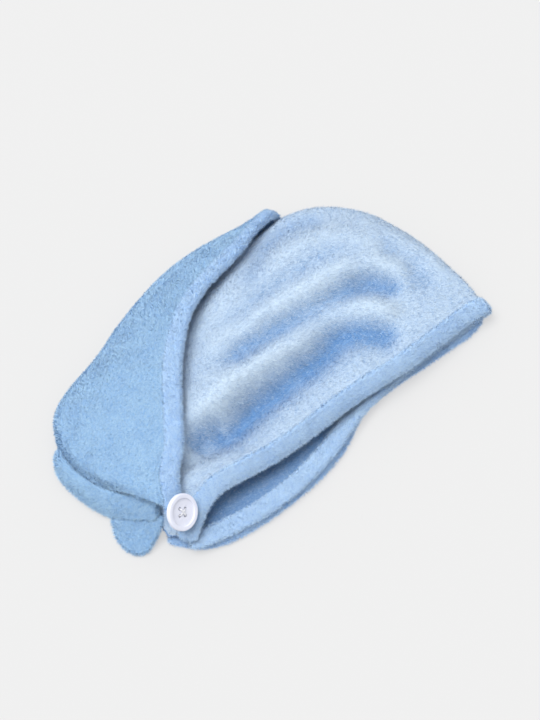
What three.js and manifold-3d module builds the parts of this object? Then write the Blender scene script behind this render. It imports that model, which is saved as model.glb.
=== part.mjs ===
// Hair turban towel lying on its side: a deep fleece hood, its tail wrapped under and over it, and the
// button at the nape that holds the tail. Millimetres, +Z up. X runs along the brim, Y from brim to crown.
import * as THREE from "three";
import { mergeVertices } from "three/addons/utils/BufferGeometryUtils.js";
import Module from "manifold-3d";

// Driving sizes
const HOOD_LENGTH = 270; // brim, from the nape end to the forehead corner
const HOOD_DEPTH = 180; // from brim to crown, lying flat
const HOOD_LOFT = 27; // highest fold, above the two hems that lie under the brim
const TAIL_OVERHANG = 52; // how far the tail passes the nape end
const CLOTH_WALL = 2.8;
const HEM_WIDTH = 12;
const HEM_THICK = 4.4;
const SIDE_HEM_WIDTH = 14;
const SIDE_HEM_THICK = 5;
const TIP_THICK = 3.6;
const CROWN_FOLD_RADIUS = 6; // bend of the hood's cloth at its crown seam
const TAIL_FOLD_RADIUS = 8; // bend of the tail's cloth round the outside
const HEM_FULLNESS = 0.8; // 1 is an ellipse, and below 1 the hem's section is fuller
const TIP_SAG = 1.5; // above 1 the tip lies low before it climbs to the flap hem
const FLAP_CURVE = 0.75; // below 1 the flap rises steeply at the outside and levels off towards its hem
const SEAT_GAP = 0.3;
const LAYER_GAP = 0.8;
const BUTTON_DIAMETER = 25;
const BUTTON_THICK = 3.6;
const BUTTON_RIM_WIDTH = 3.2;
const BUTTON_DISH_DEPTH = 1.2;
const BUTTON_HOLE_DIAMETER = 2.4;
const BUTTON_HOLE_SPACING = 4.6;
const THREAD_DIAMETER = 1.3;
const THREAD_GAP = 0.4;
const LOOP_CORD_DIAMETER = 1.8;
const LOOP_REACH = 6; // from the button's shank to the loop's far end
const SHANK_DIAMETER = 4;
const THREAD_PAD = 0.8; // thickness of the sewing behind the button
const LOOP_CLEARANCE = 1.56; // from the loop down to the flap hem under the button

// Levels of the stacked layers, from the ground up
const UNDER_LAYER_MID = CLOTH_WALL / 2;
const HOOD_FLOOR = CLOTH_WALL + SEAT_GAP;
const FRONT_HEM_MID = HEM_THICK / 2;
const LOWER_BRIM_MID = HEM_THICK * 1.5 + SEAT_GAP;
const STACK_TOP = HEM_THICK * 2 + SEAT_GAP * 2;

// Number of steps in each direction
const HOOD_STEPS = 30;
const HOOD_ROWS = 14;
const TAIL_STEPS = 30;
const FLAP_ROWS = 9;
const UNDER_ROWS = 6;
const FOLD_STEPS = 3;
const BRIM_STEPS = 64;
const TURN_STEPS = 5; // the stretch over which the flap hem turns to face the button
const TAB_STEPS = 1; // the end of the flap hem that runs on under the button
const SIDE_HEM_STEPS = 20;
const HEM_SIDES = 8;
const TIP_STEPS = 7;

// Shares into places. Past -1 a share along the brim counts in overhangs of the tail.
const along = (share) =>
  share < -1 ? (share + 1) * TAIL_OVERHANG - HOOD_LENGTH / 2 : (share * HOOD_LENGTH) / 2;
const across = (share) => (share * HOOD_DEPTH) / 2;
const above = (share) => STACK_TOP + share * HOOD_LOFT;

// The hood from its nape end to its forehead corner, a row for each section. The upper brim has a place and a
// height, the lower brim lies on the front hem, and the crown is the seam that the section runs to. topNear,
// topMid, topFar and topEdge are heights of the upper panel on the way from brim to crown.
const HOOD_SECTIONS = table(
  "upperAlong upperAcross upperUp lowerAlong lowerAcross crownAlong crownAcross topNear topMid topFar topEdge",
  [
    [-1.262, -1.11, 0.11, -1.23, -1.11, -1.42, -0.98, 0.08, 0.08, 0.06, 0.03],
    [-1.067, -1.025, 0.3, -1.03, -1.15, -1.36, -0.72, 0.36, 0.34, 0.2, 0.04],
    [-0.87, -0.945, 0.6, -0.874, -1.19, -1.2, -0.38, 0.6, 0.5, 0.26, 0.09],
    [-0.7, -0.95, 0.58, -0.681, -1.222, -0.93, 0.08, 0.6, 0.72, 0.36, 0.12],
    [-0.467, -0.978, 0.5, -0.444, -1.2, -0.64, 0.46, 0.6, 0.9, 0.52, 0.13],
    [-0.2, -0.952, 0.41, -0.2, -1.122, -0.22, 0.7, 0.6, 0.94, 0.76, 0.13],
    [0.081, -0.922, 0.36, 0.06, -0.98, 0.24, 0.8, 0.58, 0.94, 0.82, 0.13],
    [0.37, -0.933, 0.33, 0.37, -0.911, 0.6, 0.83, 0.57, 0.89, 0.78, 0.13],
    [0.652, -0.906, 0.255, 0.652, -0.889, 0.86, 0.56, 0.5, 0.76, 0.65, 0.11],
    [0.874, -0.878, 0.16, 0.889, -0.878, 0.985, 0.12, 0.33, 0.48, 0.39, 0.09],
    [0.978, -0.884, 0.13, 0.978, -0.878, 1.02, -0.38, 0.18, 0.22, 0.17, 0.07],
    [1.0, -0.889, 0.02, 1.0, -0.889, 1.022, -0.7, 0.04, 0.04, 0.04, 0.02],
  ],
);
const TOP_KNOTS = [0, 0.2, 0.45, 0.75, 1];
const NAPE_SHARE = 0.18; // stretch of the hood that lies on the end of the front hem

// Which way the brim hem's width points, into the hood: lean along the brim and up, for one unit across.
const BRIM_LEAN = table("upperLeanAlong upperLeanUp lowerLeanAlong lowerLeanUp", [
  [-0.5, 0, 0.1, -0.1],
  [-0.55, 0.1, -0.1, -0.12],
  [-0.3, 0.35, -0.1, -0.15],
  [-0.1, 0.55, 0, -0.15],
  [0, 0.6, 0, -0.15],
  [0, 0.6, 0, -0.15],
  [0, 0.58, 0, -0.15],
  [0, 0.56, 0, -0.1],
  [0, 0.5, 0, -0.1],
  [0, 0.35, 0, -0.1],
  [0, 0.1, 0, -0.05],
  [0, 0, 0, 0],
]);

// Ridges (positive rise) and dents (negative) of the upper panel, each along a bend from one place to another.
// Width is a share of the half depth, rise a share of the loft.
const HOOD_FOLDS = table(
  "fromAlong fromAcross viaAlong viaAcross toAlong toAcross width rise",
  [
    [-0.72, -0.64, -0.25, -0.52, 0.2, -0.47, 0.11, -0.3],
    [0.14, -0.47, 0.34, -0.46, 0.45, -0.78, 0.09, -0.2],
    [-0.66, -0.3, -0.09, -0.4, 0.47, -0.56, 0.13, 0.16],
    [-0.95, -0.76, -0.3, -0.78, 0.12, -0.78, 0.07, 0.12],
    [-0.3, -0.09, 0.17, -0.15, 0.56, -0.23, 0.1, -0.18],
    [0.5, -0.2, 0.68, -0.28, 0.63, -0.52, 0.09, -0.16],
    [-0.4, 0.03, 0.1, -0.02, 0.55, -0.1, 0.1, 0.1],
    [-0.42, 0.08, 0.1, 0.17, 0.42, 0.2, 0.09, -0.08],
    [-0.15, 0.36, 0.15, 0.36, 0.55, 0.32, 0.13, 0.08],
    [0.22, 0.58, 0.45, 0.66, 0.7, 0.44, 0.1, -0.08],
    [0.72, 0.02, 0.8, -0.17, 0.82, -0.46, 0.1, -0.12],
    [-0.86, -0.62, -0.76, -0.56, -0.66, -0.5, 0.11, -0.2],
  ],
);

// The tail from the crown, round the outside, to the nape. The flap hem lies over the hood, the outline is the
// fold round the outside, and the front hem lies on the ground in front of the hood. shoulderUp is the flap's
// height just inside the fold, and bulge moves the table-side layer towards the forehead.
const TAIL_SECTIONS = table(
  "hemAlong hemAcross hemUp outAlong outAcross shoulderUp frontAlong frontAcross bulge",
  [
    [0.505, 0.92, -0.16, 0.49, 1.02, -0.14, 0.948, -0.885, 0.16],
    [0.328, 0.845, 0.34, 0.31, 0.98, 0.06, 0.8, -0.922, 0.12],
    [0.165, 0.72, 0.62, 0.11, 0.99, 0.2, 0.563, -0.922, 0.06],
    [-0.018, 0.625, 0.8, -0.09, 0.99, 0.24, 0.311, -0.917, 0],
    [-0.213, 0.526, 0.92, -0.32, 0.935, 0.24, 0.06, -0.956, 0],
    [-0.362, 0.41, 0.99, -0.62, 0.78, 0.24, -0.178, -1.14, 0],
    [-0.491, 0.252, 1.02, -0.945, 0.575, 0.22, -0.415, -1.215, 0],
    [-0.634, 0.023, 1.06, -1.55, 0.4, 0.22, -0.667, -1.238, 0],
    [-0.779, -0.286, 1.05, -1.78, 0.08, 0.3, -0.889, -1.215, 0],
    [-0.908, -0.561, 0.98, -1.755, -0.22, 0.46, -1.08, -1.13, 0],
    [-1.089, -0.767, 0.86, -1.665, -0.37, 0.5, -1.22, -1.045, 0],
    [-1.287, -0.985, 0.62, -1.6, -0.45, 0.2, -1.34, -0.95, 0],
  ],
);

// The side hem, a soft roll round the foot of the tail's end. Its width leans in against the flap's fold, and
// swell is its share of the side hem's width.
const SIDE_HEM = table("placeAlong placeAcross placeUp leanAlong leanAcross leanUp swell", [
  [-1.79, 0.21, -0.14, 0.5, 0, 0.9, 0.3],
  [-1.87, 0.09, -0.13, 0.5, 0, 0.9, 0.6],
  [-1.92, -0.01, -0.1, 0.6, 0, 0.8, 0.85],
  [-1.92, -0.12, -0.09, 0.65, -0.05, 0.75, 0.9],
  [-1.89, -0.245, -0.08, 0.65, 0.05, 0.75, 1],
  [-1.83, -0.36, -0.06, 0.6, 0.25, 0.75, 1.1],
  [-1.755, -0.465, -0.03, 0.58, 0.37, 0.7, 1.2],
  [-1.66, -0.55, 0.02, 0.58, 0.38, 0.7, 1.25],
  [-1.55, -0.63, 0.1, 0.62, 0.35, 0.7, 1.3],
  [-1.43, -0.71, 0.24, 0.65, 0.25, 0.7, 1.3],
  [-1.34, -0.79, 0.4, 0.6, 0.25, 0.75, 1.1],
]);

// The tail's tip, from under the side hem down to its point on the ground. Its left edge lies on the ground,
// and its right edge hangs from the flap hem.
const TIP_SECTIONS = table("leftAlong leftAcross rightAlong rightAcross rightUp", [
  [-1.85, -0.565, -1.36, -0.885, 0.22],
  [-1.9, -0.66, -1.45, -0.903, 0.02],
  [-1.925, -0.77, -1.54, -0.922, -0.12],
  [-1.9, -0.87, -1.64, -0.94, -0.22],
  [-1.83, -0.935, -1.73, -0.955, -0.27],
]);

// The button faces the mouth of the hood, and its shank stands on the end of the flap hem.
const BUTTON_FACING = new THREE.Vector3(0.29, -0.73, 0.62).normalize();
const BUTTON_TURN = -0.42; // of the four holes about the button's axis, in radians
const BUTTON_SEAT = { along: -1.245, across: -0.94, up: 0.69 };

const wasm = await Module();
wasm.setup();

// Rows of numbers with named columns, as a list of objects.
function table(names, rows) {
  const columns = names.split(" ");
  return rows.map((row) => Object.fromEntries(columns.map((column, i) => [column, row[i]])));
}

// One column of a table at a share of its length, smooth through the rows.
function column(rows, name, share) {
  const knots = rows.map((_, i) => i / (rows.length - 1));
  return smooth(knots, rows.map((row) => row[name]), share);
}

// A smooth curve through values at rising knots.
function smooth(knots, values, at) {
  const last = knots.length - 1;
  const x = Math.min(Math.max(at, knots[0]), knots[last]);
  let i = 0;
  while (i < last - 1 && x > knots[i + 1]) i++;
  const slope = (j) => {
    const a = Math.max(j - 1, 0);
    const b = Math.min(j + 1, last);
    return (values[b] - values[a]) / (knots[b] - knots[a]);
  };
  const span = knots[i + 1] - knots[i];
  const t = (x - knots[i]) / span;
  const t2 = t * t;
  const t3 = t2 * t;
  return (
    (2 * t3 - 3 * t2 + 1) * values[i] +
    (t3 - 2 * t2 + t) * span * slope(i) +
    (3 * t2 - 2 * t3) * values[i + 1] +
    (t3 - t2) * span * slope(i + 1)
  );
}

// How far a bent sheet has come round, from 0 at the outside of its fold to 1 where it lies flat.
function folded(distance, radius) {
  const t = 1 - Math.min(Math.max(distance / radius, 0), 1);
  return Math.sqrt(1 - t * t);
}

// Distances from a fold that divide its quarter circle evenly, then the rest of the way evenly.
function gradedFrom(length, radius, foldSteps, rest) {
  const places = [];
  for (let i = 0; i < foldSteps; i++) {
    places.push(radius * (1 - Math.cos((i / foldSteps) * (Math.PI / 2))));
  }
  for (let i = 0; i <= rest; i++) places.push(radius + ((length - radius) * i) / rest);
  return places;
}

// Rows of points joined into one closed skin. Triangles that have no area are left out.
class Skin {
  constructor() {
    this.positions = [];
    this.faces = [];
    this.known = new Map();
  }
  point(p) {
    const key = [p.x, p.y, p.z].map((value) => Math.round(value * 1e4)).join();
    if (!this.known.has(key)) {
      this.known.set(key, this.positions.length / 3);
      this.positions.push(p.x, p.y, p.z);
    }
    return this.known.get(key);
  }
  triangle(a, b, c) {
    const corners = [this.point(a), this.point(b), this.point(c)];
    if (new Set(corners).size === 3) this.faces.push(...corners);
  }
  quad(a, b, c, d) {
    this.triangle(a, b, c);
    this.triangle(a, c, d);
  }
  // Quads are cut one way in the first half of the rows and the other way in the second. A turned grid faces
  // the other way with the same cuts.
  grid(rows, turned = false) {
    for (let i = 0; i + 1 < rows.length; i++) {
      for (let j = 0; j + 1 < rows[i].length; j++) {
        const corners = [rows[i][j], rows[i + 1][j], rows[i + 1][j + 1], rows[i][j + 1]];
        const start = i < rows.length / 2 ? 1 : 0;
        const [a, b, c, d] = corners.map((_, k) => corners[(k + start) % 4]);
        if (turned) this.quad(a, d, c, b);
        else this.quad(a, b, c, d);
      }
    }
  }
  strip(first, second) {
    this.grid([first, second]);
  }
  geometry() {
    const made = new THREE.BufferGeometry();
    made.setAttribute("position", new THREE.Float32BufferAttribute(this.positions, 3));
    made.setIndex(this.faces);
    made.computeVertexNormals();
    return made;
  }
}

const vector = (x, y, z) => new THREE.Vector3(x, y, z);
const between = (a, b, share) => new THREE.Vector3().lerpVectors(a, b, share);
const flatten = (p) => vector(p.x, p.y, 0);
const backwards = (list) => [...list].reverse();

// Frames of a hem: its centre line, the side that its width points to, and its upper side.
function frames(centres, leans) {
  return centres.map((centre, i) => {
    const before = centres[Math.max(i - 1, 0)];
    const after = centres[Math.min(i + 1, centres.length - 1)];
    const tangent = after.clone().sub(before).normalize();
    const wide = leans[i].clone().addScaledVector(tangent, -leans[i].dot(tangent)).normalize();
    return { centre, wide, thin: new THREE.Vector3().crossVectors(tangent, wide) };
  });
}

// A rolled hem swept along its frames, with flat ends.
function hem(list, width, thick, sides) {
  const skin = new Skin();
  const rings = list.map(({ centre, wide, thin }) => {
    const ring = [];
    for (let i = 0; i <= sides; i++) {
      const angle = ((i % sides) / sides) * Math.PI * 2;
      const c = Math.cos(angle);
      const s = Math.sin(angle);
      const rounded = (value) => Math.sign(value) * Math.abs(value) ** HEM_FULLNESS;
      ring.push(
        centre
          .clone()
          .addScaledVector(wide, (rounded(c) * width) / 2)
          .addScaledVector(thin, (rounded(s) * thick) / 2),
      );
    }
    return ring;
  });
  skin.grid(rings, true);
  const cap = (ring, centre, turned) => {
    for (let i = 0; i < sides; i++) {
      if (turned) skin.triangle(centre, ring[i], ring[i + 1]);
      else skin.triangle(centre, ring[i + 1], ring[i]);
    }
  };
  cap(rings[0], list[0].centre, false);
  cap(rings[rings.length - 1], list[list.length - 1].centre, true);
  return skin.geometry();
}

// The mouth ring: nape end, upper brim, forehead corner, lower brim and back to the nape end.
const ringPoints = [
  ...HOOD_SECTIONS.map((row) => vector(along(row.upperAlong), across(row.upperAcross), above(row.upperUp))),
  ...backwards(HOOD_SECTIONS.slice(0, -1)).map((row) =>
    vector(along(row.lowerAlong), across(row.lowerAcross), LOWER_BRIM_MID),
  ),
];
const mouthRing = new THREE.CatmullRomCurve3(ringPoints, false, "centripetal");
const crownSeam = new THREE.CatmullRomCurve3(
  HOOD_SECTIONS.map((row) => vector(along(row.crownAlong), across(row.crownAcross), 0)),
  false,
  "centripetal",
);

// The hem's lean at a share of the ring, and the hood's edge beside it.
function ringLean(share) {
  const upper = share <= 0.5;
  const at = upper ? share * 2 : 2 - share * 2;
  const side = upper ? "upper" : "lower";
  return vector(column(BRIM_LEAN, side + "LeanAlong", at), 1, column(BRIM_LEAN, side + "LeanUp", at));
}
function hoodEdge(share) {
  const tangent = mouthRing.getTangent(share);
  const lean = ringLean(share);
  const wide = lean.addScaledVector(tangent, -lean.dot(tangent)).normalize();
  return mouthRing.getPoint(share).addScaledVector(wide, HEM_WIDTH / 2 + SEAT_GAP);
}

// What the folds of the upper panel add to its height at a place.
const foldLines = HOOD_FOLDS.map((row) => ({
  line: new THREE.QuadraticBezierCurve3(
    vector(along(row.fromAlong), across(row.fromAcross), 0),
    vector(along(row.viaAlong), across(row.viaAcross), 0),
    vector(along(row.toAlong), across(row.toAcross), 0),
  ).getPoints(16),
  width: (row.width * HOOD_DEPTH) / 2,
  rise: row.rise * HOOD_LOFT,
}));
function distanceToLine(line, place) {
  let nearest = Infinity;
  for (let i = 0; i + 1 < line.length; i++) {
    const [a, b] = [line[i], line[i + 1]];
    const [dx, dy] = [b.x - a.x, b.y - a.y];
    const t = ((place.x - a.x) * dx + (place.y - a.y) * dy) / (dx * dx + dy * dy);
    const share = Math.min(Math.max(t, 0), 1);
    nearest = Math.min(nearest, Math.hypot(a.x + share * dx - place.x, a.y + share * dy - place.y));
  }
  return nearest;
}
function foldRise(place) {
  let total = 0;
  for (const { line, width, rise } of foldLines) {
    total += rise * Math.exp(-((distanceToLine(line, place) / width) ** 2));
  }
  return total;
}

// The two panels of the hood, pulled in by an inset from its outer face.
function hoodPanels(inset) {
  const seamLevel = HOOD_FLOOR + CROWN_FOLD_RADIUS * 0.9;
  const radius = CROWN_FOLD_RADIUS - inset;
  const endShare = CROWN_FOLD_RADIUS / HOOD_LENGTH;
  const insetShare = inset / HOOD_LENGTH;
  const fromEnd = gradedFrom(0.5 - insetShare, endShare - insetShare, FOLD_STEPS, HOOD_STEPS / 2);
  const steps = [
    ...fromEnd.map((d) => d + insetShare),
    ...backwards(fromEnd.slice(0, -1)).map((d) => 1 - d - insetShare),
  ];
  const upper = [];
  const lower = [];
  for (const at of steps) {
    const endFold = folded(Math.min(at, 1 - at) - insetShare, endShare - insetShare);
    const upperEdge = hoodEdge(at / 2);
    const lowerEdge = hoodEdge(1 - at / 2);
    const meeting = between(upperEdge, lowerEdge, 0.5);
    const seam = crownSeam.getPoint(at);
    const sides = [
      { edge: between(meeting, upperEdge, endFold), row: upper, top: true },
      { edge: between(meeting, lowerEdge, endFold), row: lower, top: false },
    ];
    for (const { edge, row, top } of sides) {
      const start = flatten(edge);
      const length = start.distanceTo(seam) - inset;
      const toSeam = seam.clone().sub(start).normalize();
      const foldRadius = Math.min(radius, length * 0.45);
      const places = backwards(gradedFrom(length, foldRadius, FOLD_STEPS, HOOD_ROWS)).map((d) => length - d);
      row.push(
        places.map((distance) => {
          const place = start.clone().addScaledVector(toSeam, distance);
          const share = distance / (length + inset);
          const fold = folded(length - distance, foldRadius) * endFold;
          const level = top
            ? hoodTop(at, share, edge.z + CLOTH_WALL / 2, place) - inset
            : hoodFloor(at, distance, edge.z - CLOTH_WALL / 2) + inset;
          place.z = seamLevel + (level - seamLevel) * fold;
          return place;
        }),
      );
    }
  }
  // Both panels share the points of their seam and of their two ends.
  for (let i = 0; i < steps.length; i++) {
    const last = upper[i].length - 1;
    upper[i].forEach((p, j) => {
      const atEnd = i === 0 || i === steps.length - 1 || j === last;
      if (atEnd) p.copy(lower[i][j]);
    });
  }
  return { upper, lower };
}

// Heights of the hood's outer faces.
function hoodTop(at, share, edgeLevel, place) {
  const levels = ["topNear", "topMid", "topFar", "topEdge"].map((name) => above(column(HOOD_SECTIONS, name, at)));
  const settled = Math.min(share / TOP_KNOTS[1], 1);
  return smooth(TOP_KNOTS, [edgeLevel, ...levels], share) + foldRise(place) * settled;
}
// The lower panel lies on the tail's cloth, and over the front hem at the nape.
function hoodFloor(at, distance, edgeLevel) {
  const settled = Math.min(distance / (HEM_WIDTH * 1.5), 1);
  const onHem = Math.max(0, 1 - at / NAPE_SHARE);
  const floor = HOOD_FLOOR + (HEM_THICK + SEAT_GAP - CLOTH_WALL) * onHem;
  return edgeLevel + (floor - edgeLevel) * settled;
}

const outerPanels = hoodPanels(0);

// The hood as a closed skin: outer faces, inner faces, and the edge of the cloth round the mouth.
function hoodShape() {
  const inner = hoodPanels(CLOTH_WALL);
  const skin = new Skin();
  skin.grid(outerPanels.upper);
  skin.grid(outerPanels.lower, true);
  skin.grid(inner.upper, true);
  skin.grid(inner.lower);
  const mouth = (panels) => [
    ...panels.upper.map((row) => row[0]),
    ...backwards(panels.lower.slice(0, -1)).map((row) => row[0]),
  ];
  skin.strip(mouth(outerPanels), mouth(inner));
  return skin.geometry();
}

// Height of the hood's upper face at a place, or 0 beside it.
function hoodHeightAt(place) {
  const rows = outerPanels.upper;
  for (let i = 0; i + 1 < rows.length; i++) {
    for (let j = 0; j + 1 < rows[i].length; j++) {
      const corners = [rows[i][j], rows[i + 1][j], rows[i + 1][j + 1], rows[i][j + 1]];
      for (const [a, b, c] of [
        [corners[0], corners[1], corners[2]],
        [corners[0], corners[2], corners[3]],
      ]) {
        const area = (b.x - a.x) * (c.y - a.y) - (c.x - a.x) * (b.y - a.y);
        const u = ((place.x - a.x) * (c.y - a.y) - (c.x - a.x) * (place.y - a.y)) / area;
        const v = ((b.x - a.x) * (place.y - a.y) - (place.x - a.x) * (b.y - a.y)) / area;
        if (u >= -1e-6 && v >= -1e-6 && u + v <= 1 + 1e-6) return a.z + u * (b.z - a.z) + v * (c.z - a.z);
      }
    }
  }
  return 0;
}

// The brim hem, round the mouth from the nape end to the nape end.
function brimHemShape() {
  const shares = Array.from({ length: BRIM_STEPS + 1 }, (_, i) => i / BRIM_STEPS);
  return hem(
    frames(
      shares.map((share) => mouthRing.getPoint(share)),
      shares.map(ringLean),
    ),
    HEM_WIDTH,
    HEM_THICK,
    HEM_SIDES,
  );
}

// The flap hem: it keeps the height of its table, or rides on the hood where that is higher.
function flapHemFrames() {
  const centres = [];
  const leans = [];
  for (let i = 0; i <= TAIL_STEPS; i++) {
    const at = i / TAIL_STEPS;
    const centre = vector(
      along(column(TAIL_SECTIONS, "hemAlong", at)),
      across(column(TAIL_SECTIONS, "hemAcross", at)),
      above(column(TAIL_SECTIONS, "hemUp", at)),
    );
    const outside = vector(
      along(column(TAIL_SECTIONS, "outAlong", at)),
      across(column(TAIL_SECTIONS, "outAcross", at)),
      0,
    );
    const lean = outside.clone().sub(flatten(centre)).normalize();
    const under = [-0.6, -0.4, -0.2, 0, 0.2, 0.4, 0.6].map((share) =>
      hoodHeightAt(flatten(centre).addScaledVector(lean, share * HEM_WIDTH)),
    );
    centre.z = Math.max(centre.z, Math.max(...under) + HEM_THICK / 2 + LAYER_GAP);
    const fall = centre.z - above(column(TAIL_SECTIONS, "shoulderUp", at));
    const run = flatten(centre).distanceTo(outside) - TAIL_FOLD_RADIUS - HEM_WIDTH / 2;
    const slope = (FLAP_CURVE * fall) / Math.max(run, HEM_WIDTH / 2);
    const outerSide = flatten(centre).addScaledVector(lean, HEM_WIDTH / 2);
    const room = centre.z - (hoodHeightAt(outerSide) + LAYER_GAP + CLOTH_WALL / 2);
    lean.z = -Math.min(slope, room / (HEM_WIDTH / 2));
    centres.push(centre);
    leans.push(lean);
  }
  // Near its end the hem turns its face to the button.
  const end = centres[TAIL_STEPS].clone().sub(centres[TAIL_STEPS - 1]);
  const facingSide = end.cross(BUTTON_FACING).normalize();
  leans.forEach((lean, i) => {
    const turn = Math.max(0, 1 - (TAIL_STEPS - i) / TURN_STEPS);
    lean.normalize().lerp(facingSide, turn);
  });
  return frames(centres, leans);
}
const flapHem = flapHemFrames();

// The middle of the front hem, on the ground.
const frontLine = new THREE.CatmullRomCurve3(
  TAIL_SECTIONS.map((row) => vector(along(row.frontAlong), across(row.frontAcross), 0)),
  false,
  "centripetal",
);
const frontPoints = frontLine.getPoints(TAIL_STEPS * 2);

// One section of the tail's cloth: from the flap hem, over the hood, round the outside and under the hood.
function tailSection(at) {
  const get = (name) => column(TAIL_SECTIONS, name, at);
  const frame = flapHem[Math.round(at * TAIL_STEPS)];
  const start = frame.centre.clone().addScaledVector(frame.wide, HEM_WIDTH / 2 + LAYER_GAP);
  const outside = vector(along(get("outAlong")), across(get("outAcross")), 0);
  const front = frontLine.getPoint(at);
  const shoulder = above(get("shoulderUp"));
  const width = flatten(start).distanceTo(outside);
  const radius = Math.min(TAIL_FOLD_RADIUS, width * 0.6);
  const foldLevel = (shoulder + UNDER_LAYER_MID) / 2;
  const inward = flatten(start).sub(outside).normalize();
  const flap = gradedFrom(width, radius, FOLD_STEPS, FLAP_ROWS).map((distance) => {
    const place = outside.clone().addScaledVector(inward, distance);
    const climb = Math.max(0, (distance - radius) / (width - radius));
    const level = shoulder + (start.z - shoulder) * climb ** FLAP_CURVE;
    const rounded = foldLevel + (level - foldLevel) * folded(distance, radius);
    const carried = hoodHeightAt(place) + CLOTH_WALL / 2 + LAYER_GAP;
    place.z = climb < 1 ? Math.max(rounded, climb > 0 ? carried : 0) : start.z;
    return place;
  });
  const toFront = front.clone().sub(outside);
  let reach = toFront.length();
  toFront.normalize();
  const clearance = HEM_WIDTH / 2 + SEAT_GAP * 2;
  while (distanceToLine(frontPoints, outside.clone().addScaledVector(toFront, reach)) < clearance) {
    reach -= SEAT_GAP;
  }
  const under = gradedFrom(reach, radius, FOLD_STEPS, UNDER_ROWS).map((distance) => {
    const place = outside.clone().addScaledVector(toFront, distance);
    place.x += get("bulge") * across(1) * Math.sin((Math.PI * distance) / reach);
    place.z = foldLevel + (UNDER_LAYER_MID - foldLevel) * folded(distance, radius);
    return place;
  });
  return [...backwards(flap), ...under.slice(1)];
}

// A sheet of even thickness on both sides of a grid of points, no lower than the ground.
function sheet(rows, wall) {
  const side = (sign) =>
    rows.map((row, i) =>
      row.map((p, j) => {
        const alongRow = row[Math.min(j + 1, row.length - 1)].clone().sub(row[Math.max(j - 1, 0)]);
        const acrossRows = rows[Math.min(i + 1, rows.length - 1)][j].clone().sub(rows[Math.max(i - 1, 0)][j]);
        const normal = acrossRows.cross(alongRow).normalize();
        const moved = p.clone().addScaledVector(normal, (sign * wall) / 2);
        moved.z = Math.max(moved.z, 0);
        return moved;
      }),
    );
  const outer = side(1);
  const inner = side(-1);
  const skin = new Skin();
  skin.grid(outer);
  skin.grid(inner, true);
  skin.strip(inner[0], outer[0]);
  skin.strip(outer[outer.length - 1], inner[inner.length - 1]);
  skin.strip(
    outer.map((row) => row[0]),
    inner.map((row) => row[0]),
  );
  skin.strip(
    inner.map((row) => row[row.length - 1]),
    outer.map((row) => row[row.length - 1]),
  );
  return skin.geometry();
}

function tailShape() {
  const rows = [];
  for (let i = 0; i <= TAIL_STEPS - TAB_STEPS; i++) rows.push(tailSection(i / TAIL_STEPS));
  return sheet(rows, CLOTH_WALL);
}

// The front hem lies on the ground from the forehead corner to the tip.
function frontHemShape() {
  const centres = [];
  const leans = [];
  for (let i = 0; i <= TAIL_STEPS; i++) {
    const at = i / TAIL_STEPS;
    const get = (name) => column(TAIL_SECTIONS, name, at);
    const centre = frontLine.getPoint(at).setZ(FRONT_HEM_MID);
    centres.push(centre);
    leans.push(vector(along(get("outAlong")), across(get("outAcross")), FRONT_HEM_MID).sub(centre));
  }
  return hem(frames(centres, leans), HEM_WIDTH, HEM_THICK, HEM_SIDES);
}

function sideHemShape() {
  const centres = [];
  const leans = [];
  for (let i = 0; i <= SIDE_HEM_STEPS; i++) {
    const get = (name) => column(SIDE_HEM, name, i / SIDE_HEM_STEPS);
    centres.push(vector(along(get("placeAlong")), across(get("placeAcross")), above(get("placeUp"))));
    leans.push(vector(get("leanAlong"), get("leanAcross"), get("leanUp")));
  }
  const swollen = frames(centres, leans).map(({ centre, wide, thin }, i) => {
    const swell = column(SIDE_HEM, "swell", i / SIDE_HEM_STEPS);
    return { centre, wide: wide.multiplyScalar(swell), thin };
  });
  return hem(swollen, SIDE_HEM_WIDTH, SIDE_HEM_THICK, HEM_SIDES);
}

// The tip is one sheet, hollow underneath where it climbs to the flap hem.
function tipShape() {
  const rows = [];
  for (let i = 0; i <= TIP_STEPS; i++) {
    const get = (name) => column(TIP_SECTIONS, name, i / TIP_STEPS);
    const left = vector(along(get("leftAlong")), across(get("leftAcross")), TIP_THICK / 2);
    const right = vector(along(get("rightAlong")), across(get("rightAcross")), 0);
    right.z = Math.max(above(get("rightUp")), TIP_THICK / 2);
    rows.push(
      Array.from({ length: TIP_STEPS + 1 }, (_, j) => {
        const place = between(left, right, j / TIP_STEPS);
        place.z = left.z + (right.z - left.z) * (j / TIP_STEPS) ** TIP_SAG;
        return place;
      }),
    );
  }
  return sheet(rows, TIP_THICK);
}

// Solids that are cut or joined.
function solidOf(geometry) {
  const bare = geometry.clone();
  bare.deleteAttribute("normal");
  bare.deleteAttribute("uv");
  const merged = mergeVertices(bare, 1e-4);
  return new wasm.Manifold(
    new wasm.Mesh({
      numProp: 3,
      vertProperties: merged.attributes.position.array,
      triVerts: new Uint32Array(merged.index.array),
    }),
  );
}
function geometryOf(solid) {
  const { vertProperties, triVerts } = solid.getMesh();
  const made = new THREE.BufferGeometry();
  made.setAttribute("position", new THREE.BufferAttribute(new Float32Array(vertProperties), 3));
  made.setIndex(new THREE.BufferAttribute(new Uint32Array(triVerts), 1));
  made.computeVertexNormals();
  return made;
}
// A round bar along Z between two levels.
function bar(diameter, low, high, x, y) {
  return solidOf(
    new THREE.CylinderGeometry(diameter / 2, diameter / 2, high - low, 10)
      .rotateX(Math.PI / 2)
      .translate(x, y, (low + high) / 2),
  );
}

const HOLE_PLACES = [
  [1, 1],
  [-1, 1],
  [-1, -1],
  [1, -1],
].map(([x, y]) => [(x * BUTTON_HOLE_SPACING) / 2, (y * BUTTON_HOLE_SPACING) / 2]);

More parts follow.
